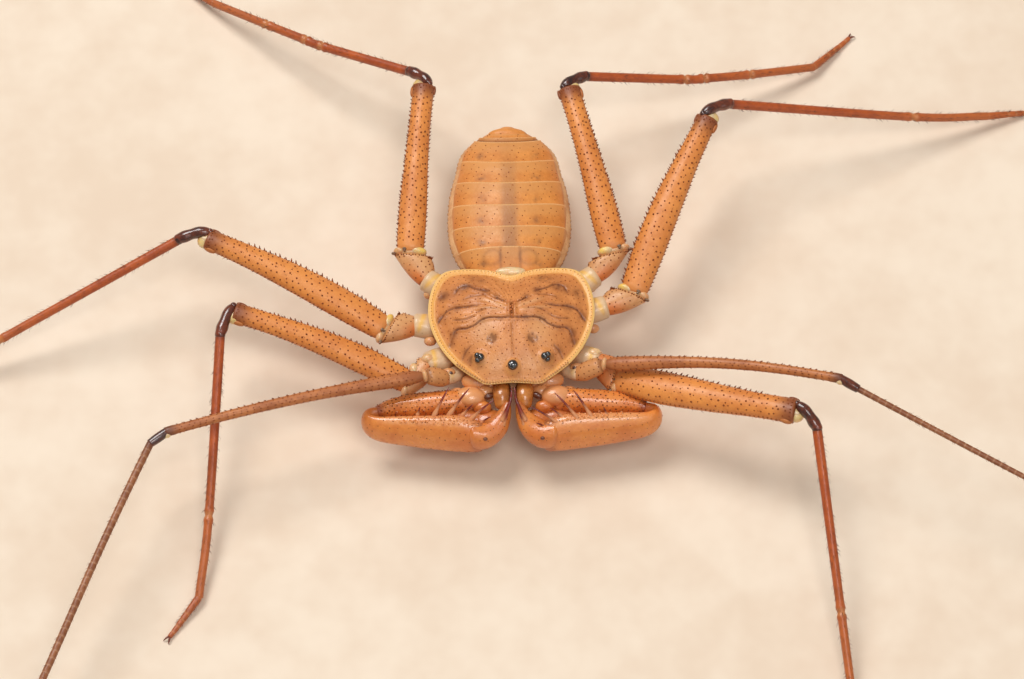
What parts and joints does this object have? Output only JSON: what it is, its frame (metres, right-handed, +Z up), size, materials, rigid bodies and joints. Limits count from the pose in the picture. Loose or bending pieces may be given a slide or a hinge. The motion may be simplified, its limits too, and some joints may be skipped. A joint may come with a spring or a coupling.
{
  "type": "tailless whipscorpion (life-size model)",
  "caption": "Still life-size model of a baja tailless whipscorpion standing on spread legs, flat oval body, folded spined pedipalps and two long whip feelers.",
  "frame": {"origin": "bottom centre of the whole model's box, at floor level", "axes": "+Z up from the floor, the animal faces -Y, +X towards its left side"},
  "size_m": [0.1084, 0.0926, 0.0078],
  "materials": {
    "carapace": "satin horny shield, orange tan with a pale rim",
    "membrane": "pale translucent skin with yellow patches",
    "abdomen": "satin orange tan plates with pale rear edges",
    "leg": "satin orange tan with rows of dark denticles",
    "knee": "glossy dark brown",
    "shin": "satin reddish brown",
    "palp": "glossy reddish orange",
    "claw": "glossy dark maroon",
    "eye": "glossy black"
  },
  "bodies": {
    "root": {"abdomen": "abdomen", "carapace": "carapace", "chelicera_left": "membrane", "chelicera_right": "membrane", "eye_median": "eye", "eyes_lateral_left": "eye", "eyes_lateral_right": "eye", "leg_1_left_femur": "leg", "leg_1_left_patella": "knee", "leg_1_left_tarsus": "shin", "leg_1_left_tibia": "shin", "leg_1_left_trochanter": "leg", "leg_1_right_femur": "leg", "leg_1_right_patella": "knee", "leg_1_right_tarsus": "shin", "leg_1_right_tibia": "shin", "leg_1_right_trochanter": "leg", "leg_2_left_femur": "leg", "leg_2_left_patella": "knee", "leg_2_left_tarsus": "shin", "leg_2_left_tibia": "shin", "leg_2_left_trochanter": "leg", "leg_2_right_femur": "leg", "leg_2_right_patella": "knee", "leg_2_right_tarsus": "shin", "leg_2_right_tibia": "shin", "leg_2_right_trochanter": "leg", "leg_3_left_femur": "leg", "leg_3_left_patella": "knee", "leg_3_left_tarsus": "shin", "leg_3_left_tibia": "shin", "leg_3_left_trochanter": "leg", "leg_3_right_femur": "leg", "leg_3_right_patella": "knee", "leg_3_right_tarsus": "shin", "leg_3_right_tibia": "shin", "leg_3_right_trochanter": "leg", "leg_4_left_femur": "leg", "leg_4_left_patella": "knee", "leg_4_left_tarsus": "shin", "leg_4_left_tibia": "shin", "leg_4_left_trochanter": "leg", "leg_4_right_femur": "leg", "leg_4_right_patella": "knee", "leg_4_right_tarsus": "shin", "leg_4_right_tibia": "shin", "leg_4_right_trochanter": "leg", "pedipalp_left_femur": "palp", "pedipalp_left_patella": "palp", "pedipalp_left_tarsus": "claw", "pedipalp_left_tibia": "palp", "pedipalp_left_trochanter": "membrane", "pedipalp_right_femur": "palp", "pedipalp_right_patella": "palp", "pedipalp_right_tarsus": "claw", "pedipalp_right_tibia": "palp", "pedipalp_right_trochanter": "membrane", "prosoma": "membrane"}
  },
  "joints": []
}
